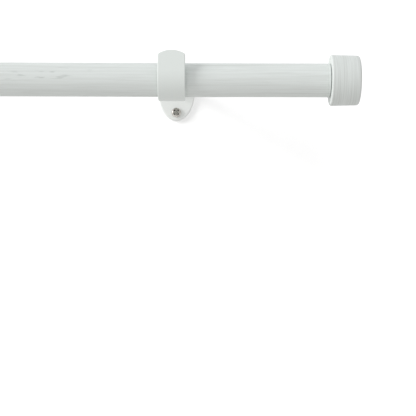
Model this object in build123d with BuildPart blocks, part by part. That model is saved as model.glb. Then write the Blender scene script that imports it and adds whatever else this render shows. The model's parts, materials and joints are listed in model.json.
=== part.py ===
from build123d import *
import os
from math import cos, radians, sin, sqrt, tan

# A curtain rod: a wooden rod with a turned cap on each end, carried off the wall by three hook brackets.
# The origin is on the wall behind the centre bracket. +X runs along the rod, +Y into the wall, +Z up.
# All lengths are in millimetres and all angles in degrees.

# Rod
rod_diameter = 25.4
rod_length = 1219.2

# End caps
cap_diameter = 38.1
cap_length = 21.6
cap_edge_chamfer = 0.8
cap_shadow_gap = 0.45

# Studs that are set in the caps and screw into the rod's ends
stud_diameter = 6.35
stud_depth_in_rod = 18.0
stud_depth_in_cap = 14.0
stud_running_clearance = 0.05
stud_end_clearance = 0.5

# Brackets: where they stand and how far the cup stands out
bracket_inset = 118.4
cup_projection = 107.4
cup_drop = 12.4

# Strap of the hook arm
strap_width = 20.5
strap_thickness = 3.0
arm_bend_radius = 16.5
run_angle = 64.0
cup_clearance = 2.5
rod_rest_clearance = 0.1
tip_rise = 16.6
tip_lean = 3.5
tip_dome_radius = 18.0
tip_corner_round = 2.0
tenon_width = 12.0

# Wall plates
plate_width = 31.8
plate_height = 52.2
plate_thickness = 2.4
plate_screw_inset = 6.9
plate_hole_diameter = 6.6

# Wall screws
wall_screw_diameter = 4.2
wall_screw_length = 30.0
wall_screw_head_diameter = 8.2
wall_screw_head_height = 2.4

# Set screws
set_screw_diameter = 4.0
set_screw_length = 15.0
set_screw_head_diameter = 7.5
set_screw_head_height = 2.2
set_screw_rise = 7.9
set_screw_running_clearance = 0.05
set_screw_rod_clearance = 0.3

# Worked-out sizes of the strap, on its centre line in the side view: u from the wall, v up from the arm
rod_radius = rod_diameter / 2
cup_radius = rod_radius + cup_clearance
cup_line_radius = cup_radius + strap_thickness / 2
bend_line_radius = arm_bend_radius + strap_thickness / 2
run_down = (cos(radians(run_angle)), -sin(radians(run_angle)))
run_normal = (sin(radians(run_angle)), cos(radians(run_angle)))
cup_start_u = cup_projection - cup_line_radius * run_normal[0]
cup_start_v = -cup_drop - cup_line_radius * run_normal[1]
corner_u = cup_start_u + cup_start_v / tan(radians(run_angle))
bend_start_u = corner_u - bend_line_radius * tan(radians(run_angle / 2))

# Wall screws: one above the other
plate_screw_spacing = plate_height - 2 * plate_screw_inset

# Rod axis: the rod lies on the bottom of the cups
rod_y = -cup_projection
rod_z = -cup_drop - cup_clearance + rod_rest_clearance

# Set screw axis: square to the sloped run, pointing forward and up, over the back of the rod
set_screw_direction = Vector(0, -run_normal[0], run_normal[1])
set_screw_u = cup_start_u - set_screw_rise * run_down[0]
set_screw_v = cup_start_v - set_screw_rise * run_down[1]
set_screw_radius = set_screw_diameter / 2
axis_over_rod = (cup_projection - set_screw_u) * run_down[0] + (rod_z - set_screw_v) * run_down[1]
axis_to_rod = (cup_projection - set_screw_u) * run_normal[0] + (rod_z - set_screw_v) * run_normal[1]
low_edge_over_rod = axis_over_rod - set_screw_radius
low_edge_to_rod = sqrt((rod_radius + set_screw_rod_clearance) ** 2 - low_edge_over_rod**2)
set_screw_tip = axis_to_rod - low_edge_to_rod

os.makedirs("parts", exist_ok=True)


def make_rod():
    """The wooden rod, with a bore in each end for a stud."""
    bore_radius = stud_diameter / 2 + stud_running_clearance
    bore_depth = stud_depth_in_rod + stud_end_clearance
    with BuildPart() as rod:
        with BuildSketch(Plane(origin=(0, rod_y, rod_z), z_dir=(1, 0, 0))):
            Circle(rod_radius)
        extrude(amount=rod_length / 2, both=True)
        for end in rod.faces().filter_by(Axis.X):
            with Locations(Plane(end)):
                Hole(bore_radius, bore_depth)
    rod.part.label = "rod"
    export_step(rod.part, "parts/rod.step")


def make_cap(side_name, side):
    """A turned drum cap. side is 1 at the rod's right end and -1 at its left."""
    bore_radius = stud_diameter / 2 + stud_running_clearance
    bore_depth = stud_depth_in_cap + stud_end_clearance
    face_x = side * (rod_length / 2 + cap_shadow_gap)
    with BuildPart() as cap:
        with BuildSketch(Plane(origin=(face_x, rod_y, rod_z), z_dir=(side, 0, 0))):
            Circle(cap_diameter / 2)
        extrude(amount=cap_length)
        outer_rim = cap.edges().sort_by(Axis((0, 0, 0), (side, 0, 0)))[-1]
        chamfer(outer_rim, cap_edge_chamfer)
        with Locations(Plane(origin=(face_x, rod_y, rod_z), z_dir=(-side, 0, 0))):
            Hole(bore_radius, bore_depth)
    cap.part.label = f"{side_name}_cap"
    export_step(cap.part, f"parts/{side_name}_cap.step")


def make_cap_stud(side_name, side):
    """The stud that joins a cap to the rod."""
    inner_end_x = side * (rod_length / 2 - stud_depth_in_rod)
    length = stud_depth_in_rod + cap_shadow_gap + stud_depth_in_cap
    with BuildPart() as stud:
        with BuildSketch(Plane(origin=(inner_end_x, rod_y, rod_z), z_dir=(side, 0, 0))):
            Circle(stud_diameter / 2)
        extrude(amount=length)
    stud.part.label = f"{side_name}_cap_stud"
    export_step(stud.part, f"parts/{side_name}_cap_stud.step")


def make_wall_plate(side_name, x):
    """A flat oval plate with two screw holes, wide enough to level it, and a slot for the arm's tenon."""
    with BuildPart() as plate:
        with BuildSketch(Plane(origin=(x, 0, 0), x_dir=(1, 0, 0), z_dir=(0, -1, 0))):
            Ellipse(plate_width / 2, plate_height / 2)
            Rectangle(tenon_width, strap_thickness, mode=Mode.SUBTRACT)
            with GridLocations(0, plate_screw_spacing, 1, 2):
                Circle(plate_hole_diameter / 2, mode=Mode.SUBTRACT)
        extrude(amount=plate_thickness)
    plate.part.label = f"{side_name}_wall_plate"
    export_step(plate.part, f"parts/{side_name}_wall_plate.step")


def make_hook_arm(side_name, x):
    """The bent strap: tenon, arm, bend, sloped run with its tapped hole, cup, and leg with a domed tip."""
    side_view = Plane(origin=(x, 0, 0), x_dir=(0, -1, 0), z_dir=(-1, 0, 0))
    cup_sweep = 90 + run_angle + tip_lean
    cup_end_u = cup_projection + cup_line_radius * cos(radians(tip_lean))
    cup_end_v = -cup_drop + cup_line_radius * sin(radians(tip_lean))
    leg_direction = (0, sin(radians(tip_lean)), cos(radians(tip_lean)))
    leg_plane = Plane(
        origin=(x, -cup_end_u, cup_end_v),
        x_dir=(1, 0, 0),
        z_dir=Vector(1, 0, 0).cross(Vector(*leg_direction)),
    )
    leg_length = (tip_rise - cup_line_radius * sin(radians(tip_lean))) / cos(radians(tip_lean))
    half_width = strap_width / 2
    shoulder = leg_length - tip_dome_radius + sqrt(tip_dome_radius**2 - half_width**2)
    hole_radius = set_screw_radius + set_screw_running_clearance
    hole_plane = Plane(origin=(x, -set_screw_u, set_screw_v), z_dir=set_screw_direction)
    with BuildPart() as arm:
        with BuildSketch(side_view):
            with BuildLine():
                straight = Line((plate_thickness, 0), (bend_start_u, 0))
                bend = JernArc(straight @ 1, straight % 1, bend_line_radius, -run_angle)
                run = Line(bend @ 1, (cup_start_u, cup_start_v))
                JernArc(run @ 1, run % 1, cup_line_radius, cup_sweep)
            trace(line_width=strap_thickness)
        extrude(amount=half_width, both=True)
        with BuildSketch(leg_plane) as leg:
            with BuildLine():
                Polyline((-half_width, shoulder), (-half_width, 0), (half_width, 0), (half_width, shoulder))
                ThreePointArc((half_width, shoulder), (0, leg_length), (-half_width, shoulder))
            make_face()
            fillet(leg.vertices().sort_by(Axis.Y)[-2:], tip_corner_round)
        extrude(amount=strap_thickness / 2, both=True)
        with BuildSketch(Plane(origin=(x, 0, 0), x_dir=(1, 0, 0), z_dir=(0, -1, 0))):
            Rectangle(tenon_width, strap_thickness)
        extrude(amount=plate_thickness)
        with BuildSketch(hole_plane):
            Circle(hole_radius)
        extrude(amount=strap_thickness, both=True, mode=Mode.SUBTRACT)
    arm.part.label = f"{side_name}_hook_arm"
    export_step(arm.part, f"parts/{side_name}_hook_arm.step")


def make_screw(name, under_head, direction, diameter, length, head_diameter, head_height):
    """A screw with a flat round head. under_head is the point on its axis where the shank begins."""
    with BuildPart() as screw:
        with BuildSketch(Plane(origin=under_head, z_dir=direction)):
            Circle(diameter / 2)
        extrude(amount=length)
        with BuildSketch(Plane(origin=under_head, z_dir=-direction)):
            Circle(head_diameter / 2)
        extrude(amount=head_height)
    screw.part.label = name
    export_step(screw.part, f"parts/{name}.step")


def make_wall_screws(side_name, x):
    """The two wood screws of one plate, their heads on its front."""
    for level, z in (("upper", plate_screw_spacing / 2), ("lower", -plate_screw_spacing / 2)):
        make_screw(
            f"{side_name}_{level}_wall_screw",
            Vector(x, -plate_thickness, z),
            Vector(0, 1, 0),
            wall_screw_diameter,
            wall_screw_length,
            wall_screw_head_diameter,
            wall_screw_head_height,
        )


def make_set_screw(side_name, x):
    """The machine screw that clamps the rod. Its head is behind the strap and its tip over the rod."""
    in_strap = Vector(x, -set_screw_u, set_screw_v)
    make_screw(
        f"{side_name}_set_screw",
        in_strap + set_screw_direction * (set_screw_tip - set_screw_length),
        set_screw_direction,
        set_screw_diameter,
        set_screw_length,
        set_screw_head_diameter,
        set_screw_head_height,
    )


make_rod()
for side_name, side in (("right", 1), ("left", -1)):
    make_cap(side_name, side)
    make_cap_stud(side_name, side)
for side_name, side in (("right", 1), ("centre", 0), ("left", -1)):
    bracket_x = side * (rod_length / 2 - bracket_inset)
    make_wall_plate(side_name, bracket_x)
    make_hook_arm(side_name, bracket_x)
    make_wall_screws(side_name, bracket_x)
    make_set_screw(side_name, bracket_x)
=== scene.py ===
"""Looks of a white curtain rod on three hook brackets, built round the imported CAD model.

Units are metres in the CAD model's own frame: X along the rod, Y into the wall, Z up.
"""

import json
from math import asin, cos, pi, radians, sin, sqrt, tan

import bmesh
import bpy
from bpy.props import FloatProperty, FloatVectorProperty, PointerProperty
from mathutils import Matrix, Vector


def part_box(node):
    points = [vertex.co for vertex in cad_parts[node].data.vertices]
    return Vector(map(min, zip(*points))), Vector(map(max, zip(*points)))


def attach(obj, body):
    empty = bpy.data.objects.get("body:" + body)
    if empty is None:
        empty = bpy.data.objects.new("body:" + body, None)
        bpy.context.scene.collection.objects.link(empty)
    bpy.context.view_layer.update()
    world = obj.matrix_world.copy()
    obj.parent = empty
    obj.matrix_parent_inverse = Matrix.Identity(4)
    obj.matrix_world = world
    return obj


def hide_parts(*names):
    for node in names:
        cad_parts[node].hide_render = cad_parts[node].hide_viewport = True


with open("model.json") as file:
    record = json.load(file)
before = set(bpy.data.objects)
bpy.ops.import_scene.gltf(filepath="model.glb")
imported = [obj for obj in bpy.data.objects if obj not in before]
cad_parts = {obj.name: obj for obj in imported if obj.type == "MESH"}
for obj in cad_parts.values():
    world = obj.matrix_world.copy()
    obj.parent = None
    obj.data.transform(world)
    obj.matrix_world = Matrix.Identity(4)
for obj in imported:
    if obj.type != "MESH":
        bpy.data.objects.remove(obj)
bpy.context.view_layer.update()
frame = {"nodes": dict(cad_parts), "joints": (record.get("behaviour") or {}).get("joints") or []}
FIXED_BODY = "rod_and_brackets"
ENDS = {"right": 1, "left": -1}
BRACKETS = ("right", "centre", "left")
LEVELS = ("upper", "lower")
MM = 0.001
NEAR = 1e-6
SHARP_ANGLE = radians(35)
ALONG_ROD = Vector((1, 0, 0))
INTO_WALL = Vector((0, 1, 0))
UP = Vector((0, 0, 1))
CORNERS = ((1, 1), (-1, 1), (-1, -1), (1, -1))

# Steps round each turned, bent or threaded form
ROD_STEPS = 96
CAP_STEPS = 128
PLATE_STEPS = 128
HOLE_STEPS = 48
SCREW_STEPS = 48
HEAD_DOME_STEPS = 8
THREAD_STEPS = 24
BEND_STEPS = 16
CUP_STEPS = 48
COVE_STEPS = 24

# Segments of each rounded edge
CHAMFER = 1
FINE_ROUND = 2
EDGE_ROUND = 3
PLATE_RIM_ROUND = 5
CAP_RIM_ROUND = 6

# Cuts that round the tip of a hook: over half its dome, and round each of its corners
DOME_CUTS = 8
CORNER_CUTS = 7

# Where a screw's dome begins and ends, as shares of its head's height and radius
HEAD_RIM = 0.35
HEAD_FLAT = 0.70

# How far the plain neck of a screw reaches into its head and its thread, as a share of the neck
NECK_OVERLAP = 0.25

# Width left at the end of a wood screw's point, as a share of its thread
BLUNT_END = 0.04

# Past this share of its oval, a plate's edge is on the rim
OVAL_RIM = 0.99

# Decimals of a metre to which points of a screw count as level
LEVEL_DECIMALS = 5

# How strongly large faces lead the shading round them
SHADING_WEIGHT = 100

# Width of the camera's sensor in millimetres
SENSOR_WIDTH = 36

WHITE = (1, 1, 1, 1)

bl_info = {
    "name": "Curtain Rod",
    "version": (1, 0, 0),
    "blender": (4, 5, 0),
    "location": "View3D > Sidebar > Curtain Rod",
    "description": "Builds a whitewashed curtain rod with end caps and hook brackets",
    "category": "Object",
}


def length(name, description, millimetres):
    """A length property, given in millimetres and kept in metres."""
    return FloatProperty(
        name=name,
        description=description,
        default=millimetres * MM,
        min=0.0,
        precision=5,
        subtype="DISTANCE",
        unit="LENGTH",
    )


def angle(name, description, degrees):
    """An angle property, given in degrees and kept in radians."""
    return FloatProperty(
        name=name,
        description=description,
        default=radians(degrees),
        subtype="ANGLE",
        unit="ROTATION",
    )


def colour(name, description, rgb):
    """A colour property, as linear red, green and blue."""
    return FloatVectorProperty(
        name=name,
        description=description,
        default=rgb,
        size=3,
        min=0.0,
        max=1.0,
        subtype="COLOR",
    )


def share(name, description, value):
    """A property between none and all."""
    return FloatProperty(
        name=name,
        description=description,
        default=value,
        min=0.0,
        max=1.0,
        subtype="FACTOR",
    )


class RodSettings(bpy.types.PropertyGroup):
    """The wooden rod and its two end caps."""

    paint: colour("Whitewash", "Colour of the whitewash", (0.756, 0.793, 0.774))
    grain: colour("Grain", "Colour of the wood that shows through the whitewash", (0.560, 0.580, 0.555))
    fleck: colour("Flecks", "Colour of the short dark marks", (0.465, 0.500, 0.480))
    gloss: share("Gloss", "How strongly the whitewash mirrors light at its surface", 0.20)
    rod_edge: length("Rod edge", "Rounding of the rod's ends", 0.15)
    end_band: length("End band", "Width of the plain band at each end of the rod", 1.9)
    end_line: length("End line", "Width of the fine line turned beside that band", 0.45)
    cap_outer_edge: length("Cap outer edge", "Rounding of a cap's outer rim", 1.7)
    cap_inner_edge: length("Cap inner edge", "Rounding of a cap's rim next to the rod", 0.8)
    cap_draft: angle("Cap draft", "How much a cap narrows away from the rod", 1.2)
    bore_clearance: length("Bore clearance", "Room round a stud in its bores", 0.05)
    bore_spare: length("Bore spare", "Room past a stud's ends in its bores", 0.5)
    bore_edge: length("Bore edge", "Countersink of the bores", 0.3)


class BracketSettings(bpy.types.PropertyGroup):
    """The hook arms and wall plates."""

    coat: colour("Coat", "Colour of the arms' white powder coat", (0.765, 0.806, 0.780))
    # The plates' coat is the arms' white powder coat painted lighter: painted light that stands in for the
    # light the wall throws back onto the plates
    plate_coat_painted_lighter: colour("Plate coat painted lighter", "Colour of the plates' white powder coat", (0.880, 0.898, 0.880))
    strap_thickness: length("Strap thickness", "Thickness of the bent strap", 3.0)
    strap_edge: length("Strap edge", "Rounding of the strap's long edges", 0.7)
    plate_edge: length("Plate edge", "Rounding of the plate's front rim", 1.2)
    fine_edge: length("Fine edge", "Rounding of holes and of the plate's back rim", 0.25)
    bend_radius: length("Bend radius", "Inside radius of the bend in the arm", 16.5)
    run_angle: angle("Run angle", "Slope of the run between the arm and the cup", 64)
    cup_radius: length("Cup radius", "Inside radius of the cup", 15.2)
    cup_projection: length("Cup projection", "From the wall to the centre of the cup", 107.4)
    cup_drop: length("Cup drop", "From the arm down to the centre of the cup", 12.4)
    tip_rise: length("Tip rise", "From the cup's centre up to the tip of the hook", 16.6)
    tip_lean: angle("Tip lean", "How far the tip leans back to the wall", 3.5)
    tip_dome: length("Tip dome", "Radius of the domed tip", 18.0)
    tip_corner: length("Tip corner", "Rounding of the tip's corners", 2.0)
    tenon_width: length("Tenon width", "Width of the tenon in the plate", 12)
    plate_hole: length("Plate hole", "Diameter of the screw holes in the plate", 6.6)
    tapped_hole: length("Tapped hole", "Diameter of the hole for the set screw", 4.1)


class ScrewSettings(bpy.types.PropertyGroup):
    """The wall screws, the set screws and the studs of the caps."""

    nickel: colour("Nickel", "Colour of the wall screws", (0.640, 0.620, 0.585))
    stain: colour("Stain", "Colour of the dull clouds on the wall screws", (0.400, 0.375, 0.345))
    zinc: colour("Zinc", "Colour of the set screws and studs", (0.560, 0.600, 0.610))
    dull_zinc: colour("Dull zinc", "Colour of the dull clouds on the zinc", (0.390, 0.420, 0.430))
    # Painted shade and painted dark reflection: the cross recesses are coloured near black
    recess_shade: colour("Painted recess shade", "Colour of the dark metal in the cross recesses", (0.030, 0.024, 0.020))
    wall_pitch: length("Wall screw pitch", "Pitch of the wood screws' thread", 1.8)
    wall_neck: length("Wall screw neck", "Plain length under a wood screw's head", 5)
    wall_point: length("Wall screw point", "Length of a wood screw's point", 7)
    set_pitch: length("Set screw pitch", "Pitch of the set screws' thread", 0.7)
    set_neck: length("Set screw neck", "Plain length under a set screw's head", 0.8)
    stud_pitch: length("Stud pitch", "Pitch of the studs' thread", 2.54)
    core: share("Core", "Radius of a thread's core, as a share of its outside", 0.76)
    recess_reach: share("Recess reach", "Reach of the cross recess, as a share of the head", 0.72)
    recess_arm: share("Recess arm", "Width of the recess's arms, as a share of the head", 0.36)
    recess_depth: share("Recess depth", "Depth of the recess, as a share of the head's height", 0.75)
    recess_taper: share("Recess taper", "Size of the recess at its bottom, as a share of its mouth", 0.6)


class StageSettings(bpy.types.PropertyGroup):
    """Backdrop, light and camera."""

    wall: colour("Wall", "Colour of the wall and the floor, laid on twice", (0.62, 0.62, 0.62))
    wall_gap: length("Wall gap", "From the plates' backs to the wall", 1.0)
    floor_drop: length("Floor drop", "From the brackets' middle down to the floor", 600)
    cove: length("Cove", "Radius of the sweep from the wall to the floor", 300)
    spread: length("Spread", "How far the backdrop reaches to each side", 3000)
    sky_above: colour("Sky above", "Light from straight above", (0.748, 0.755, 0.766))
    sky_below: colour("Sky below", "Light from straight below", (0.648, 0.636, 0.626))
    key: FloatProperty(name="Key", description="Strength of the key light", default=1.72, min=0)
    key_size: angle("Key size", "Angle that the key light fills, which softens its shadows", 28)
    key_from: FloatVectorProperty(
        name="Key from",
        description="Direction to the key light",
        default=(-0.87, -0.41, 0.27),
        subtype="XYZ",
    )
    focal_length: FloatProperty(
        name="Focal length", description="Camera lens in millimetres", default=86.54, min=1
    )
    camera_place: FloatVectorProperty(
        name="Camera place",
        description="Where the camera stands",
        default=(0.5191, -0.8467, -0.1842),
        subtype="XYZ",
        unit="LENGTH",
    )
    camera_tilt: angle("Camera tilt", "How far the camera looks up", 5.62)
    camera_turn: angle("Camera turn", "How far the camera looks to the right", -0.04)
    camera_roll: angle("Camera roll", "How far the camera is turned about its own axis", 0.195)


class CurtainRodSettings(bpy.types.PropertyGroup):
    """Everything that can be set."""

    rod: PointerProperty(type=RodSettings, name="Rod", description="Rod and caps")
    bracket: PointerProperty(type=BracketSettings, name="Brackets", description="Arms and plates")
    screw: PointerProperty(type=ScrewSettings, name="Screws", description="Screws and studs")
    stage: PointerProperty(type=StageSettings, name="Stage", description="Backdrop, light and camera")


# Mesh tools


def only(kind, geometry):
    """The vertices, edges or faces of what an operator made."""
    return [item for item in geometry if isinstance(item, kind)]


def sharp_edges(bm):
    """Edges between two faces that meet at a corner."""
    return [edge for edge in bm.edges if len(edge.link_faces) == 2 and edge.calc_face_angle() > SHARP_ANGLE]


def round_edges(bm, edges, radius, segments):
    """Rounds edges with an even arc."""
    bmesh.ops.bevel(
        bm,
        geom=edges,
        offset=radius,
        offset_type="OFFSET",
        segments=segments,
        profile=0.5,
        affect="EDGES",
        clamp_overlap=True,
        material=-1,
    )


def close_up(bm):
    """Welds seams and poles, then turns every face outwards."""
    bmesh.ops.remove_doubles(bm, verts=bm.verts, dist=NEAR)
    bmesh.ops.recalc_face_normals(bm, faces=bm.faces)


def turn(bm, outline, origin, axis, steps):
    """Turns an outline of (distance along the axis, radius) points into a round form."""
    side = axis.orthogonal().normalized()
    verts = [bm.verts.new(origin + axis * along + side * radius) for along, radius in outline]
    edges = [bm.edges.new(pair) for pair in zip(verts, verts[1:])]
    bmesh.ops.spin(
        bm,
        geom=verts + edges,
        cent=origin,
        axis=axis,
        angle=2 * pi,
        steps=steps,
        use_merge=True,
    )
    bmesh.ops.remove_doubles(bm, verts=bm.verts, dist=NEAR)


def circle(bm, centre, axis, radius, segments):
    """The edges of a circle round an axis."""
    place = Matrix.Translation(centre) @ axis.to_track_quat("Z", "Y").to_matrix().to_4x4()
    made = bmesh.ops.create_circle(bm, segments=segments, radius=radius, matrix=place)
    return list({edge for vert in made["verts"] for edge in vert.link_edges})


def rectangle(bm, centre, across, upright):
    """The corners of a rectangle, from its two half sides."""
    return [bm.verts.new(centre + across * u + upright * v) for u, v in CORNERS]


def fill_between(bm, edges, normal):
    """Fills the flat area between an outline and the outlines inside it."""
    made = bmesh.ops.triangle_fill(bm, edges=edges, use_beauty=True, normal=normal)
    return only(bmesh.types.BMFace, made["geom"])


def push(bm, faces, way):
    """Extrudes faces along a straight way and returns the moved faces."""
    edges = {edge for face in faces for edge in face.edges}
    made = bmesh.ops.extrude_face_region(bm, geom=[*faces, *edges])["geom"]
    bmesh.ops.translate(bm, verts=only(bmesh.types.BMVert, made), vec=way)
    return only(bmesh.types.BMFace, made)


def draw_out(bm, edges, way):
    """Extrudes edges along a straight way and returns what was made."""
    made = bmesh.ops.extrude_edge_only(bm, edges=edges)["geom"]
    bmesh.ops.translate(bm, verts=only(bmesh.types.BMVert, made), vec=way)
    return made


def swing(bm, face, centre, bend, steps):
    """Extrudes a face round a bend in the side view and returns the moved face."""
    geometry = [face] + face.edges[:] + face.verts[:]
    made = bmesh.ops.spin(bm, geom=geometry, cent=centre, axis=ALONG_ROD, angle=bend, steps=steps)
    return only(bmesh.types.BMFace, made["geom_last"])[0]


def shave(bm, verts, place, outward):
    """Cuts away what stands outside a plane and closes the cut."""
    edges = {edge for vert in verts for edge in vert.link_edges}
    faces = {face for vert in verts for face in vert.link_faces}
    cut = bmesh.ops.bisect_plane(
        bm,
        geom=[*verts, *edges, *faces],
        dist=NEAR,
        plane_co=place,
        plane_no=outward,
        clear_outer=True,
    )
    rim = only(bmesh.types.BMEdge, cut["geom_cut"])
    if rim:
        bmesh.ops.contextual_create(bm, geom=rim)


def thread(bm, start, axis, run, crest, core, pitch):
    """A helical thread on its core, made too long and cut square at both ends. Returns its vertices."""
    lead_turns = 1.5
    spare_turns = 3
    tooth = ((0.0, core), (0.15, core), (0.45, crest), (0.55, crest), (0.85, core), (1.0, core))
    side = axis.orthogonal().normalized()
    first = start - axis * pitch * lead_turns
    turns = int(run / pitch) + spare_turns
    others = set(bm.verts)
    verts = [bm.verts.new(first + axis * pitch * along + side * radius) for along, radius in tooth]
    edges = [bm.edges.new(pair) for pair in zip(verts, verts[1:])]
    bmesh.ops.spin(
        bm,
        geom=verts + edges,
        cent=first,
        axis=axis,
        dvec=axis * (pitch / THREAD_STEPS),
        angle=2 * pi * turns,
        steps=turns * THREAD_STEPS,
    )
    made = [vert for vert in bm.verts if vert not in others]
    bmesh.ops.remove_doubles(bm, verts=made, dist=NEAR)
    for place, outward in ((start, -axis), (start + axis * run, axis)):
        shave(bm, [vert for vert in bm.verts if vert not in others], place, outward)
    return [vert for vert in bm.verts if vert not in others]


# Places read from the frame


def middle_of(node):
    """The middle of a CAD node's box."""
    low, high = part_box(node)
    return (low + high) / 2


def half_of(node):
    """Half the size of a CAD node's box."""
    low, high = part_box(node)
    return (high - low) / 2


def set_screw_direction(bracket):
    """The way a set screw points, from its joint."""
    joint = next(item for item in frame["joints"] if item["child"] == f"{bracket}_set_screw")
    return Vector(joint["axis"]).normalized()


def screw_levels(node, direction):
    """The top of a screw's head, its seat and its tip, then the radius of its head and shank."""
    points = [vert.co for vert in frame["nodes"][node].data.vertices]
    rounds = {}
    for point in points:
        rounds.setdefault(round(point.dot(direction), LEVEL_DECIMALS), []).append(point)
    top, seat, tip = (rounds[level] for level in sorted(rounds))
    ends = []
    for ring in (top, tip):
        low = Vector(min(point[axis] for point in ring) for axis in range(3))
        high = Vector(max(point[axis] for point in ring) for axis in range(3))
        ends.append(((low + high) / 2, (high.x - low.x) / 2))
    (top_point, head_radius), (tip_point, shank_radius) = ends
    head_height = (seat[0] - top[0]).dot(direction)
    return top_point, top_point + direction * head_height, tip_point, head_radius, shank_radius


# Shapes of the pieces


def shape_rod(rod):
    """A round bar with a bore in each end and a fine line turned near each end."""
    centre = middle_of("rod")
    half = half_of("rod")
    bore = half_of("right_cap_stud").z + rod.bore_clearance
    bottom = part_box("right_cap_stud")[0].x - centre.x - rod.bore_spare
    line = half.x - rod.end_band
    half_line = rod.end_line / 2
    groove = [(line - half_line, half.z), (line, half.z - half_line), (line + half_line, half.z)]
    right = groove + [(half.x, half.z), (half.x, bore), (bottom, bore), (bottom, 0)]
    left = [(-along, radius) for along, radius in reversed(right)]
    bm = bmesh.new()
    turn(bm, left + right, centre, ALONG_ROD, ROD_STEPS)
    close_up(bm)
    rims = [edge for edge in sharp_edges(bm) if abs(edge.verts[0].co.x - centre.x) > half.x - NEAR]
    outer = [edge for edge in rims if (edge.verts[0].co - centre).yz.length > half.z - NEAR]
    inner = [edge for edge in rims if edge not in outer]
    round_edges(bm, inner, rod.bore_edge, CHAMFER)
    round_edges(bm, outer, rod.rod_edge, EDGE_ROUND)
    return bm


def shape_cap(end, rod):
    """A turned drum that narrows a little away from the rod."""
    axis = ALONG_ROD * ENDS[end]
    half = half_of(f"{end}_cap")
    inner_face = middle_of(f"{end}_cap") - axis * half.x
    stud_end = middle_of(f"{end}_cap_stud") + axis * half_of(f"{end}_cap_stud").x
    depth = (stud_end - inner_face).dot(axis) + rod.bore_spare
    bore = half_of(f"{end}_cap_stud").z + rod.bore_clearance
    long = 2 * half.x
    outer_radius = half.z - long * tan(rod.cap_draft)
    outline = [(depth, 0), (depth, bore), (0, bore), (0, half.z), (long, outer_radius), (long, 0)]
    bm = bmesh.new()
    turn(bm, outline, inner_face, axis, CAP_STEPS)
    close_up(bm)
    rims = sharp_edges(bm)
    at_rod = [edge for edge in rims if abs((edge.verts[0].co - inner_face).dot(axis)) < NEAR]
    inner = [edge for edge in at_rod if (edge.verts[0].co - inner_face).length > outer_radius]
    mouth = [edge for edge in at_rod if edge not in inner]
    outer = [edge for edge in rims if (edge.verts[0].co - inner_face).dot(axis) > long - NEAR]
    round_edges(bm, mouth, rod.bore_edge, CHAMFER)
    round_edges(bm, inner, rod.cap_inner_edge, EDGE_ROUND)
    round_edges(bm, outer, rod.cap_outer_edge, CAP_RIM_ROUND)
    return bm


def shape_stud(end, screw):
    """A threaded stud, half in the rod and half in the cap."""
    half = half_of(f"{end}_cap_stud")
    start = middle_of(f"{end}_cap_stud") - ALONG_ROD * half.x
    bm = bmesh.new()
    thread(bm, start, ALONG_ROD, 2 * half.x, half.z, half.z * screw.core, screw.stud_pitch)
    return bm


def shape_plate(bracket, settings):
    """An oval plate with two screw holes and a slot, its front rim rounded."""
    centre = middle_of(f"{bracket}_wall_plate")
    half = half_of(f"{bracket}_wall_plate")
    back = centre + INTO_WALL * half.y
    bm = bmesh.new()
    outline = circle(bm, back, -INTO_WALL, half.x, PLATE_STEPS)
    rim = list({vert for edge in outline for vert in edge.verts})
    bmesh.ops.scale(bm, verts=rim, vec=(1, 1, half.z / half.x), space=Matrix.Translation(-back))
    loops = list(outline)
    for level in LEVELS:
        screw = middle_of(f"{bracket}_{level}_wall_screw")
        place = Vector((screw.x, back.y, screw.z))
        loops += circle(bm, place, -INTO_WALL, settings.plate_hole / 2, HOLE_STEPS)
    slot = rectangle(bm, back, ALONG_ROD * settings.tenon_width / 2, UP * settings.strap_thickness / 2)
    loops += [bm.edges.new((slot[index - 1], slot[index])) for index in range(len(slot))]
    push(bm, fill_between(bm, loops, -INTO_WALL), -INTO_WALL * 2 * half.y)
    close_up(bm)
    rims = []
    for edge in sharp_edges(bm):
        offsets = [vert.co - centre for vert in edge.verts]
        if all((offset.x / half.x) ** 2 + (offset.z / half.z) ** 2 > OVAL_RIM for offset in offsets):
            rims.append(edge)
    front = [edge for edge in rims if edge.verts[0].co.y < centre.y]
    round_edges(bm, [edge for edge in rims if edge not in front], settings.fine_edge, FINE_ROUND)
    round_edges(bm, [edge for edge in front if edge.is_valid], settings.plate_edge, PLATE_RIM_ROUND)
    return bm


def dome_tip(bm, leg_start, leg_way, leg_length, half_width, settings):
    """Rounds the end of the hook's leg: a wide arc with a small arc at each corner."""
    tip = leg_start + leg_way * leg_length
    dome_centre = tip - leg_way * settings.tip_dome
    corner_x = half_width - settings.tip_corner
    corner_reach = settings.tip_dome - settings.tip_corner
    corner_rise = sqrt(corner_reach**2 - corner_x**2)
    swing_limit = asin(corner_x / corner_reach)
    cuts = []
    for step in range(-DOME_CUTS, DOME_CUTS + 1):
        cuts.append((dome_centre, settings.tip_dome, swing_limit * step / DOME_CUTS))
    for side in (1, -1):
        centre = dome_centre + leg_way * corner_rise + ALONG_ROD * corner_x * side
        for step in range(1, CORNER_CUTS):
            lean = swing_limit + (pi / 2 - swing_limit) * step / CORNER_CUTS
            cuts.append((centre, settings.tip_corner, lean * side))
    behind = leg_start.y + settings.strap_thickness
    for centre, radius, lean in cuts:
        outward = leg_way * cos(lean) + ALONG_ROD * sin(lean)
        above = [vert for vert in bm.verts if (vert.co - leg_start).dot(leg_way) > -NEAR]
        leg = [vert for vert in above if vert.co.y < behind]
        shave(bm, leg, centre + outward * radius, outward)


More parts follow.
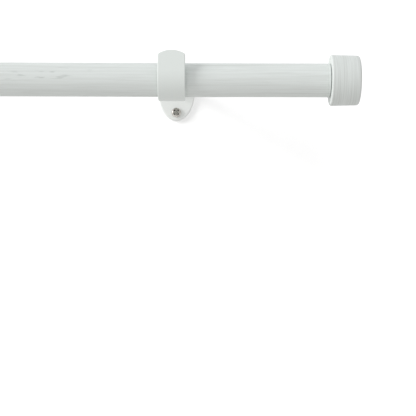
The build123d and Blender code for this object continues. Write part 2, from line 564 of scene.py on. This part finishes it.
def shape_arm(bracket, settings):
    """A bent strap: tenon, arm, bend, sloped run with its tapped hole, cup, and leg with a domed tip."""
    slope = settings.run_angle
    lean = settings.tip_lean
    half_thick = settings.strap_thickness / 2
    half_width = half_of(f"{bracket}_hook_arm").x
    plate = middle_of(f"{bracket}_wall_plate")
    plate_thickness = 2 * half_of(f"{bracket}_wall_plate").y
    root = plate - INTO_WALL * plate_thickness / 2
    down = Vector((0, -cos(slope), -sin(slope)))
    outward = Vector((0, -sin(slope), cos(slope)))
    leg_way = Vector((0, sin(lean), cos(lean)))
    cup = Vector((plate.x, -settings.cup_projection, plate.z - settings.cup_drop))
    cup_line = settings.cup_radius + half_thick
    cup_start = cup - outward * cup_line
    corner = cup_start - down * ((plate.z - cup_start.z) / sin(slope))
    bend_line = settings.bend_radius + half_thick
    bend_start = corner + INTO_WALL * bend_line * tan(slope / 2)
    bend_end = corner + down * bend_line * tan(slope / 2)
    leg_length = (settings.tip_rise - cup_line * sin(lean)) / cos(lean)
    bm = bmesh.new()
    start = bm.faces.new(rectangle(bm, root, ALONG_ROD * half_width, UP * half_thick))
    end = push(bm, [start], bend_start - root)[0]
    end = swing(bm, end, bend_start - UP * bend_line, slope, BEND_STEPS)
    end = push(bm, [end], cup_start - bend_end)[0]
    end = swing(bm, end, cup, -(pi / 2 + slope + lean), CUP_STEPS)
    leg_start = end.calc_center_median()
    push(bm, [end], leg_way * leg_length)
    dome_tip(bm, leg_start, leg_way, leg_length, half_width, settings)
    bmesh.ops.recalc_face_normals(bm, faces=bm.faces)
    ease_strap(bm, root, settings)
    drill_run(bm, bracket, (bend_end + cup_start) / 2, outward, settings)
    add_tenon(bm, root, plate_thickness, settings)
    return bm


def ease_strap(bm, root, settings):
    """Rounds the strap's edges, apart from those at the plate."""
    edges = [edge for edge in sharp_edges(bm) if max(root.y - vert.co.y for vert in edge.verts) > NEAR]
    round_edges(bm, edges, settings.strap_edge, EDGE_ROUND)


def drill_run(bm, bracket, run_middle, outward, settings):
    """Opens the tapped hole through the sloped run."""
    top, *_ = screw_levels(f"{bracket}_set_screw", outward)
    centre = top + outward * (run_middle - top).dot(outward)
    radius = settings.tapped_hole / 2
    rims = []
    for side in (outward, -outward):
        face_point = centre + side * settings.strap_thickness / 2
        faces = [face for face in bm.faces if face.normal.dot(side) > 1 - NEAR]
        face = min(faces, key=lambda item: (item.calc_center_median() - face_point).length)
        outline = face.edges[:]
        bmesh.ops.delete(bm, geom=[face], context="FACES_ONLY")
        rim = circle(bm, face_point, side, radius, HOLE_STEPS)
        fill_between(bm, outline + rim, side)
        rims += rim
    bmesh.ops.bridge_loops(bm, edges=rims)
    bmesh.ops.recalc_face_normals(bm, faces=bm.faces)
    mouth = [edge for edge in rims if edge.is_valid]
    round_edges(bm, mouth, settings.fine_edge, FINE_ROUND)


def faces_at(bm, y):
    """Faces that lie flat at one depth from the wall."""
    return [face for face in bm.faces if all(abs(vert.co.y - y) < NEAR for vert in face.verts)]


def add_tenon(bm, root, depth, settings):
    """Pushes a narrower tenon back from the strap's root into the plate's slot."""
    half = settings.tenon_width / 2
    for side in (1, -1):
        face = max(faces_at(bm, root.y), key=lambda item: item.calc_area())
        bmesh.ops.bisect_plane(
            bm,
            geom=[face, *face.edges, *face.verts],
            dist=NEAR,
            plane_co=root + ALONG_ROD * half * side,
            plane_no=ALONG_ROD,
        )
    middle = min(faces_at(bm, root.y), key=lambda item: abs(item.calc_center_median().x - root.x))
    push(bm, [middle], INTO_WALL * depth)


def pan_head(bm, seat, outward, radius, height, screw):
    """A domed screw head. Its cross recess takes the second material, a painted shade, except for the
    middle of its floor, which keeps the plain metal.
    """
    flat = radius * HEAD_FLAT
    rim = height * HEAD_RIM
    dome = []
    for step in range(HEAD_DOME_STEPS + 1):
        lift = step / HEAD_DOME_STEPS * pi / 2
        dome.append((rim + (height - rim) * sin(lift), flat + (radius - flat) * cos(lift)))
    others = set(bm.edges)
    turn(bm, [(0, 0), (0, radius)] + dome, seat, outward, SCREW_STEPS)
    mouth = [edge for edge in bm.edges if edge not in others and edge.is_boundary]
    top = seat + outward * height
    side = outward.orthogonal().normalized()
    half = radius * screw.recess_arm / 2
    middle = bm.faces.new(rectangle(bm, top, side * half, outward.cross(side) * half))
    reach = radius * screw.recess_reach - half
    cross = [middle]
    for edge in middle.edges[:]:
        way = ((edge.verts[0].co + edge.verts[1].co) / 2 - top).normalized()
        cross += only(bmesh.types.BMFace, draw_out(bm, [edge], way * reach))
    border = list({edge for face in cross for edge in face.edges if edge.is_boundary})
    fill_between(bm, mouth + border, outward)
    sink = -outward * height * screw.recess_depth
    floor = push(bm, cross, sink)
    low = list({vert for face in floor for vert in face.verts})
    taper = screw.recess_taper
    bmesh.ops.scale(bm, verts=low, vec=(taper, taper, taper), space=Matrix.Translation(-(top + sink)))
    bottom = min(floor, key=lambda face: (face.calc_center_median() - top - sink).length)
    # Painted shade: the recess's walls and arms take the near-black material
    for face in {face for vert in low for face in vert.link_faces if face is not bottom}:
        face.material_index = 1


def shape_screw(node, direction, screw, pitch, neck, point):
    """A screw with a domed head, a plain neck, a thread and, on a wood screw, a point."""
    top, seat, tip, head_radius, shank_radius = screw_levels(node, direction)
    long = (tip - seat).dot(direction)
    overlap = neck * NECK_OVERLAP
    bm = bmesh.new()
    pan_head(bm, seat, -direction, head_radius, (seat - top).length, screw)
    neck_start = seat - direction * overlap
    neck_outline = [(0, 0), (0, shank_radius), (neck + overlap, shank_radius), (neck + overlap, 0)]
    turn(bm, neck_outline, neck_start, direction, SCREW_STEPS)
    start = seat + direction * (neck - overlap)
    core_radius = shank_radius * screw.core
    made = thread(bm, start, direction, long - neck + overlap, shank_radius, core_radius, pitch)
    if point:
        sharpen(made, tip, direction, point)
    return bm


def sharpen(verts, tip, direction, point):
    """Draws the end of a thread in to a point."""
    for vert in verts:
        left = (tip - vert.co).dot(direction)
        if left < point:
            foot = tip - direction * left
            vert.co = foot + (vert.co - foot) * max(left / point, BLUNT_END)


# Materials


def new_material(name, roughness, metallic):
    """A material with its shader, ready for its patterns."""
    material = bpy.data.materials.new(name)
    material.use_nodes = True
    shader = material.node_tree.nodes["Principled BSDF"]
    shader.inputs["Roughness"].default_value = roughness
    shader.inputs["Metallic"].default_value = metallic
    return material, material.node_tree, shader


def own_place(tree):
    """The piece's own coordinates."""
    return tree.nodes.new("ShaderNodeTexCoord").outputs["Object"]


def pattern(tree, place, scale, detail, shift=0.0):
    """Noise at a place, with a scale for each axis."""
    mapping = tree.nodes.new("ShaderNodeMapping")
    mapping.inputs["Location"].default_value = (shift, shift, shift)
    mapping.inputs["Scale"].default_value = scale
    noise = tree.nodes.new("ShaderNodeTexNoise")
    noise.inputs["Scale"].default_value = 1.0
    noise.inputs["Detail"].default_value = detail
    tree.links.new(place, mapping.inputs["Vector"])
    tree.links.new(mapping.outputs["Vector"], noise.inputs["Vector"])
    return noise.outputs["Fac"]


def remap(tree, value, across, onto):
    """Spreads one stretch of a pattern's values onto another."""
    node = tree.nodes.new("ShaderNodeMapRange")
    limits = zip(("From Min", "From Max", "To Min", "To Max"), (*across, *onto))
    for name, limit in limits:
        node.inputs[name].default_value = limit
    tree.links.new(value, node.inputs["Value"])
    return node.outputs["Result"]


def combine(tree, operation, first, second):
    """The sum, product or maximum of two patterns."""
    node = tree.nodes.new("ShaderNodeMath")
    node.operation = operation
    tree.links.new(first, node.inputs[0])
    tree.links.new(second, node.inputs[1])
    return node.outputs["Value"]


def lathe_place(tree, axis_point):
    """Coordinates round the rod's axis, whose first one runs along a drum and out across its flat ends."""
    from_axis = tree.nodes.new("ShaderNodeVectorMath")
    from_axis.operation = "SUBTRACT"
    from_axis.inputs[1].default_value = (0, axis_point.y, axis_point.z)
    parts = tree.nodes.new("ShaderNodeSeparateXYZ")
    spoke = tree.nodes.new("ShaderNodeCombineXYZ")
    reach = tree.nodes.new("ShaderNodeVectorMath")
    reach.operation = "LENGTH"
    place = tree.nodes.new("ShaderNodeCombineXYZ")
    tree.links.new(own_place(tree), from_axis.inputs[0])
    tree.links.new(from_axis.outputs["Vector"], parts.inputs["Vector"])
    for across in "YZ":
        tree.links.new(parts.outputs[across], spoke.inputs[across])
        tree.links.new(parts.outputs[across], place.inputs[across])
    tree.links.new(spoke.outputs["Vector"], reach.inputs[0])
    tree.links.new(combine(tree, "ADD", parts.outputs["X"], reach.outputs["Value"]), place.inputs["X"])
    return place.outputs["Vector"]


def blend_colours(tree, amount, base, over):
    """Lays a colour over a base, which is a colour or the result of an earlier blend."""
    node = tree.nodes.new("ShaderNodeMix")
    node.data_type = "RGBA"
    amount_in, base_in, over_in = node.inputs[0], node.inputs[6], node.inputs[7]
    tree.links.new(amount, amount_in)
    if isinstance(base, bpy.types.NodeSocket):
        tree.links.new(base, base_in)
    else:
        base_in.default_value = (*base, 1)
    over_in.default_value = (*over, 1)
    return node.outputs[2]


def darker(tone, kept):
    """A colour of which a share of the light is kept."""
    return tuple(channel * kept for channel in tone)


def raise_surface(tree, shader, height, strength, depth):
    """Bump from a pattern."""
    node = tree.nodes.new("ShaderNodeBump")
    node.inputs["Strength"].default_value = strength
    node.inputs["Distance"].default_value = depth
    tree.links.new(height, node.inputs["Height"])
    tree.links.new(node.outputs["Normal"], shader.inputs["Normal"])


def whitewash_material(rod):
    """Whitewashed wood: fine grain along the rod, faint patches and a few short dark flecks."""
    material, tree, shader = new_material("whitewash_on_rod", roughness=0.55, metallic=0)
    shader.inputs["Specular IOR Level"].default_value = rod.gloss
    place = own_place(tree)
    streaks = pattern(tree, place, scale=(12, 640, 640), detail=4)
    hairs = pattern(tree, place, scale=(40, 2100, 2100), detail=2, shift=3.1)
    patches = pattern(tree, place, scale=(6, 55, 55), detail=2, shift=47.9)
    marks = pattern(tree, place, scale=(100, 420, 420), detail=1, shift=50.9)
    mark_zones = pattern(tree, place, scale=(7, 40, 40), detail=1, shift=83.3)
    grain = combine(
        tree,
        "MULTIPLY",
        remap(tree, streaks, across=(0.46, 0.72), onto=(0.0, 0.54)),
        remap(tree, patches, across=(0.40, 0.62), onto=(0.45, 1.0)),
    )
    dark = combine(tree, "MAXIMUM", grain, remap(tree, hairs, across=(0.52, 0.78), onto=(0.0, 0.42)))
    flecks = combine(
        tree,
        "MULTIPLY",
        remap(tree, marks, across=(0.62, 0.74), onto=(0.0, 0.7)),
        remap(tree, mark_zones, across=(0.54, 0.66), onto=(0.0, 0.8)),
    )
    painted = blend_colours(tree, dark, rod.paint, rod.grain)
    tree.links.new(blend_colours(tree, flecks, painted, rod.fleck), shader.inputs["Base Color"])
    roughness = remap(tree, streaks, across=(0.35, 0.70), onto=(0.50, 0.64))
    tree.links.new(roughness, shader.inputs["Roughness"])
    height = remap(tree, dark, across=(0.0, 0.42), onto=(1.0, 0.0))
    raise_surface(tree, shader, height, strength=0.55, depth=0.12 * MM)
    return material


def brushed_cap_material(rod):
    """The caps' whitewash, brushed round the drum and in rings on its flat ends."""
    material, tree, shader = new_material("whitewash_on_cap", roughness=0.55, metallic=0)
    shader.inputs["Specular IOR Level"].default_value = rod.gloss
    place = lathe_place(tree, middle_of("rod"))
    strokes = pattern(tree, place, scale=(1300, 22, 22), detail=3)
    hairs = pattern(tree, place, scale=(2900, 60, 60), detail=2, shift=3.1)
    grain = remap(tree, strokes, across=(0.40, 0.72), onto=(0.08, 0.66))
    dark = combine(tree, "MAXIMUM", grain, remap(tree, hairs, across=(0.46, 0.75), onto=(0.0, 0.62)))
    tree.links.new(blend_colours(tree, dark, rod.paint, rod.grain), shader.inputs["Base Color"])
    roughness = remap(tree, strokes, across=(0.35, 0.70), onto=(0.50, 0.64))
    tree.links.new(roughness, shader.inputs["Roughness"])
    height = remap(tree, dark, across=(0.0, 0.6), onto=(1.0, 0.0))
    raise_surface(tree, shader, height, strength=0.30, depth=0.10 * MM)
    return material


def powder_coat_material(name, coat):
    """White powder coat: a fine orange peel and the faintest change of tone."""
    material, tree, shader = new_material(name, roughness=0.45, metallic=0)
    place = own_place(tree)
    clouds = pattern(tree, place, scale=(45, 45, 45), detail=3)
    peel = pattern(tree, place, scale=(1400, 1400, 1400), detail=1, shift=2.3)
    tone = remap(tree, clouds, across=(0.35, 0.70), onto=(0.0, 0.05))
    tree.links.new(blend_colours(tree, tone, coat, darker(coat, 0.8)), shader.inputs["Base Color"])
    roughness = remap(tree, peel, across=(0.3, 0.7), onto=(0.42, 0.50))
    tree.links.new(roughness, shader.inputs["Roughness"])
    raise_surface(tree, shader, peel, strength=0.12, depth=0.05 * MM)
    return material


def plated_material(name, metal, stain, roughness):
    """Plated steel: dull clouds and fine marks."""
    material, tree, shader = new_material(name, roughness=roughness, metallic=1)
    place = own_place(tree)
    clouds = pattern(tree, place, scale=(620, 620, 620), detail=3)
    marks = pattern(tree, place, scale=(2600, 900, 900), detail=2, shift=4.4)
    dull = remap(tree, clouds, across=(0.36, 0.64), onto=(0.0, 1.0))
    tree.links.new(blend_colours(tree, dull, metal, stain), shader.inputs["Base Color"])
    rubbed = remap(tree, marks, across=(0.3, 0.7), onto=(roughness * 0.8, roughness * 1.4))
    tree.links.new(rubbed, shader.inputs["Roughness"])
    raise_surface(tree, shader, marks, strength=0.10, depth=0.03 * MM)
    return material


def recess_shade_material(screw):
    """Painted shade: near-black metal in the arms of the cross recesses, where the recess lies in shade and
    shows dark reflections.
    """
    material, tree, shader = new_material("recess_painted_shade", roughness=0.6, metallic=1)
    clouds = pattern(tree, own_place(tree), scale=(900, 900, 900), detail=2)
    amount = remap(tree, clouds, across=(0.35, 0.70), onto=(0.0, 0.6))
    shaded_recess_colour = blend_colours(tree, amount, screw.recess_shade, darker(screw.recess_shade, 0.5))
    tree.links.new(shaded_recess_colour, shader.inputs["Base Color"])
    return material


def seen_directly(tree):
    """One for camera, glossy and transmission rays, and nothing for other light."""
    path = tree.nodes.new("ShaderNodeLightPath")
    shiny = combine(tree, "MAXIMUM", path.outputs["Is Glossy Ray"], path.outputs["Is Transmission Ray"])
    return combine(tree, "MAXIMUM", path.outputs["Is Camera Ray"], shiny)


def mix_shaders(tree, amount, first, second):
    """Goes over from a first shader to a second."""
    node = tree.nodes.new("ShaderNodeMixShader")
    for socket, source in zip(node.inputs, (amount, first, second)):
        tree.links.new(source, socket)
    return node.outputs["Shader"]


def backdrop_material(stage):
    """A white wall that shows shadows, and that light and looks from behind pass through."""
    material = bpy.data.materials.new("backdrop_white")
    material.use_nodes = True
    tree = material.node_tree
    tree.nodes.remove(tree.nodes["Principled BSDF"])
    matt = tree.nodes.new("ShaderNodeBsdfDiffuse")
    matt.inputs["Color"].default_value = (*stage.wall, 1)
    wall = tree.nodes.new("ShaderNodeAddShader")
    for coat in wall.inputs:
        tree.links.new(matt.outputs["BSDF"], coat)
    clear = tree.nodes.new("ShaderNodeBsdfTransparent")
    geometry = tree.nodes.new("ShaderNodeNewGeometry")
    front = remap(tree, geometry.outputs["Backfacing"], across=(0, 1), onto=(1, 0))
    amount = combine(tree, "MULTIPLY", seen_directly(tree), front)
    shown = mix_shaders(tree, amount, clear.outputs["BSDF"], wall.outputs["Shader"])
    tree.links.new(shown, tree.nodes["Material Output"].inputs["Surface"])
    return material


# Stage


def into_scene(name, data):
    """A new object in the scene."""
    made = bpy.data.objects.new(name, data)
    bpy.context.scene.collection.objects.link(made)
    return made


def solid_object(name, bm, materials):
    """Makes a bmesh into an object with smooth faces."""
    mesh = bpy.data.meshes.new(name)
    bm.to_mesh(mesh)
    bm.free()
    mesh.shade_smooth()
    for material in materials:
        mesh.materials.append(material)
    return into_scene(name, mesh)


def place_backdrop(stage):
    """A wall behind the plates that sweeps down to a floor."""
    wall_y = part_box("centre_wall_plate")[1].y + stage.wall_gap
    floor_z = -stage.floor_drop
    ceiling_z = stage.spread / 2
    bm = bmesh.new()
    ends = [bm.verts.new((stage.spread * side, wall_y, ceiling_z)) for side in (-1, 1)]
    edge = bm.edges.new(ends)
    cove_centre = Vector((0, wall_y - stage.cove, floor_z + stage.cove))
    draw_out(bm, [edge], -UP * (ceiling_z - cove_centre.z))
    low_verts = [vert for vert in bm.verts if abs(vert.co.z - cove_centre.z) < NEAR]
    made = bmesh.ops.spin(
        bm,
        geom=[bm.edges.get(low_verts), *low_verts],
        cent=cove_centre,
        axis=ALONG_ROD,
        angle=-pi / 2,
        steps=COVE_STEPS,
    )
    draw_out(bm, only(bmesh.types.BMEdge, made["geom_last"]), -INTO_WALL * stage.spread)
    bmesh.ops.recalc_face_normals(bm, faces=bm.faces)
    wall_face = max(bm.faces, key=lambda face: face.calc_center_median().z)
    if wall_face.normal.y > 0:
        bmesh.ops.reverse_faces(bm, faces=bm.faces)
    backdrop = solid_object("backdrop", bm, [backdrop_material(stage)])


def light_world(stage):
    """Soft light all round, a little stronger from above, and plain white where it is seen."""
    world = bpy.data.worlds.new("white_room")
    world.use_nodes = True
    bpy.context.scene.world = world
    tree = world.node_tree
    even = tree.nodes["Background"]
    way = tree.nodes.new("ShaderNodeTexCoord")
    parts = tree.nodes.new("ShaderNodeSeparateXYZ")
    tree.links.new(way.outputs["Generated"], parts.inputs["Vector"])
    height = remap(tree, parts.outputs["Z"], across=(-1, 1), onto=(0, 1))
    tree.links.new(blend_colours(tree, height, stage.sky_below, stage.sky_above), even.inputs["Color"])
    seen = tree.nodes.new("ShaderNodeBackground")
    seen.inputs["Color"].default_value = WHITE
    shown = mix_shaders(tree, seen_directly(tree), even.outputs["Background"], seen.outputs["Background"])
    tree.links.new(shown, tree.nodes["World Output"].inputs["Surface"])


def place_key(stage):
    """One soft light from the upper left."""
    lamp = bpy.data.lights.new("key", "SUN")
    lamp.energy = stage.key
    lamp.angle = stage.key_size
    key = into_scene("key", lamp)
    key.rotation_mode = "QUATERNION"
    key.rotation_quaternion = Vector(stage.key_from).to_track_quat("Z", "Y")


def place_camera(stage):
    """The camera, in front of the right bracket and below it, tilted up a little."""
    data = bpy.data.cameras.new("camera")
    data.lens = stage.focal_length
    data.sensor_width = SENSOR_WIDTH
    camera = into_scene("camera", data)
    turned = Matrix.Rotation(-stage.camera_turn, 4, "Z")
    tilted = Matrix.Rotation(pi / 2 + stage.camera_tilt, 4, "X")
    rolled = Matrix.Rotation(stage.camera_roll, 4, "Z")
    camera.matrix_world = Matrix.Translation(stage.camera_place) @ turned @ tilted @ rolled
    bpy.context.scene.camera = camera


# Pieces


def finish_piece(name, bm, materials, body, node):
    """Makes a bmesh into an object that rides on a body and stands for a CAD node."""
    close_up(bm)
    piece = solid_object(name, bm, materials)
    piece.data.set_sharp_from_angle(angle=SHARP_ANGLE)
    normals = piece.modifiers.new("Even shading", "WEIGHTED_NORMAL")
    normals.weight = SHADING_WEIGHT
    normals.keep_sharp = True
    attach(piece, body)
    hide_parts(node)


class CURTAINROD_OT_set_stage(bpy.types.Operator):
    """Set up the backdrop, the light and the camera"""

    bl_idname = "curtainrod.set_stage"
    bl_label = "Set Stage"

    def execute(self, context):
        stage = context.scene.curtain_rod.stage
        place_backdrop(stage)
        light_world(stage)
        place_key(stage)
        place_camera(stage)
        context.scene.view_settings.view_transform = "Standard"
        return {"FINISHED"}


class CURTAINROD_OT_build_rod(bpy.types.Operator):
    """Build the whitewashed rod"""

    bl_idname = "curtainrod.build_rod"
    bl_label = "Build Rod"

    def execute(self, context):
        rod = context.scene.curtain_rod.rod
        wood = whitewash_material(rod)
        finish_piece("whitewashed_rod", shape_rod(rod), [wood], FIXED_BODY, "rod")
        return {"FINISHED"}


class CURTAINROD_OT_build_caps(bpy.types.Operator):
    """Build the two turned end caps"""

    bl_idname = "curtainrod.build_caps"
    bl_label = "Build Caps"

    def execute(self, context):
        rod = context.scene.curtain_rod.rod
        wood = brushed_cap_material(rod)
        for end in ENDS:
            node = f"{end}_cap"
            finish_piece(f"{end}_turned_cap", shape_cap(end, rod), [wood], node, node)
        return {"FINISHED"}


class CURTAINROD_OT_build_studs(bpy.types.Operator):
    """Build the threaded studs that join the caps to the rod"""

    bl_idname = "curtainrod.build_studs"
    bl_label = "Build Studs"

    def execute(self, context):
        screw = context.scene.curtain_rod.screw
        zinc = plated_material("zinc_stud", screw.zinc, screw.dull_zinc, roughness=0.35)
        for end in ENDS:
            node = f"{end}_cap_stud"
            finish_piece(f"{end}_threaded_stud", shape_stud(end, screw), [zinc], node, node)
        return {"FINISHED"}


class CURTAINROD_OT_build_plates(bpy.types.Operator):
    """Build the oval wall plates"""

    bl_idname = "curtainrod.build_plates"
    bl_label = "Build Plates"

    def execute(self, context):
        settings = context.scene.curtain_rod.bracket
        # Painted light: the plates take a lighter copy of the arms' coat
        coat = powder_coat_material("powder_coat_painted_lighter_on_plates", settings.plate_coat_painted_lighter)
        for bracket in BRACKETS:
            shape = shape_plate(bracket, settings)
            node = f"{bracket}_wall_plate"
            finish_piece(f"{bracket}_oval_plate", shape, [coat], FIXED_BODY, node)
        return {"FINISHED"}


class CURTAINROD_OT_build_arms(bpy.types.Operator):
    """Build the bent hook arms"""

    bl_idname = "curtainrod.build_arms"
    bl_label = "Build Hook Arms"

    def execute(self, context):
        settings = context.scene.curtain_rod.bracket
        coat = powder_coat_material("powder_coat_on_arms", settings.coat)
        for bracket in BRACKETS:
            shape = shape_arm(bracket, settings)
            node = f"{bracket}_hook_arm"
            finish_piece(f"{bracket}_bent_strap", shape, [coat], FIXED_BODY, node)
        return {"FINISHED"}


class CURTAINROD_OT_build_wall_screws(bpy.types.Operator):
    """Build the wood screws that hold the plates"""

    bl_idname = "curtainrod.build_wall_screws"
    bl_label = "Build Wall Screws"

    def execute(self, context):
        screw = context.scene.curtain_rod.screw
        nickel = plated_material("bright_nickel", screw.nickel, screw.stain, roughness=0.22)
        metals = [nickel, recess_shade_material(screw)]
        for bracket in BRACKETS:
            for level in LEVELS:
                node = f"{bracket}_{level}_wall_screw"
                shape = shape_screw(
                    node,
                    INTO_WALL,
                    screw,
                    pitch=screw.wall_pitch,
                    neck=screw.wall_neck,
                    point=screw.wall_point,
                )
                name = f"{bracket}_{level}_wood_screw"
                finish_piece(name, shape, metals, FIXED_BODY, node)
        return {"FINISHED"}


class CURTAINROD_OT_build_set_screws(bpy.types.Operator):
    """Build the set screws that clamp the rod"""

    bl_idname = "curtainrod.build_set_screws"
    bl_label = "Build Set Screws"

    def execute(self, context):
        screw = context.scene.curtain_rod.screw
        zinc = plated_material("zinc_set_screw", screw.zinc, screw.dull_zinc, roughness=0.33)
        metals = [zinc, recess_shade_material(screw)]
        for bracket in BRACKETS:
            node = f"{bracket}_set_screw"
            direction = set_screw_direction(bracket)
            shape = shape_screw(
                node,
                direction,
                screw,
                pitch=screw.set_pitch,
                neck=screw.set_neck,
                point=0,
            )
            finish_piece(f"{bracket}_clamp_screw", shape, metals, node, node)
        return {"FINISHED"}


class CURTAINROD_PT_panel(bpy.types.Panel):
    """The sidebar panel with every size, colour and step"""

    bl_idname = "CURTAINROD_PT_panel"
    bl_label = "Curtain Rod"
    bl_space_type = "VIEW_3D"
    bl_region_type = "UI"
    bl_category = "Curtain Rod"

    def draw(self, context):
        settings = context.scene.curtain_rod
        for group in (settings.rod, settings.bracket, settings.screw, settings.stage):
            box = self.layout.box()
            for name in group.__annotations__:
                box.prop(group, name)
        for operator in OPERATORS:
            self.layout.operator(operator.bl_idname)


OPERATORS = (
    CURTAINROD_OT_set_stage,
    CURTAINROD_OT_build_rod,
    CURTAINROD_OT_build_caps,
    CURTAINROD_OT_build_studs,
    CURTAINROD_OT_build_plates,
    CURTAINROD_OT_build_arms,
    CURTAINROD_OT_build_wall_screws,
    CURTAINROD_OT_build_set_screws,
)
GROUPS = (RodSettings, BracketSettings, ScrewSettings, StageSettings, CurtainRodSettings)
CLASSES = (*GROUPS, *OPERATORS, CURTAINROD_PT_panel)


def register():
    """Registers the settings, the steps and the panel."""
    for item in CLASSES:
        bpy.utils.register_class(item)
    bpy.types.Scene.curtain_rod = PointerProperty(
        type=CurtainRodSettings, name="Curtain Rod", description="Settings of the curtain rod"
    )


def unregister():
    """Takes the settings, the steps and the panel away again."""
    del bpy.types.Scene.curtain_rod
    for item in reversed(CLASSES):
        bpy.utils.unregister_class(item)


def main():
    """Builds every piece in order."""
    register()
    bpy.ops.curtainrod.set_stage()
    bpy.ops.curtainrod.build_rod()
    bpy.ops.curtainrod.build_caps()
    bpy.ops.curtainrod.build_studs()
    bpy.ops.curtainrod.build_plates()
    bpy.ops.curtainrod.build_arms()
    bpy.ops.curtainrod.build_wall_screws()
    bpy.ops.curtainrod.build_set_screws()


if __name__ == "__main__":
    main()
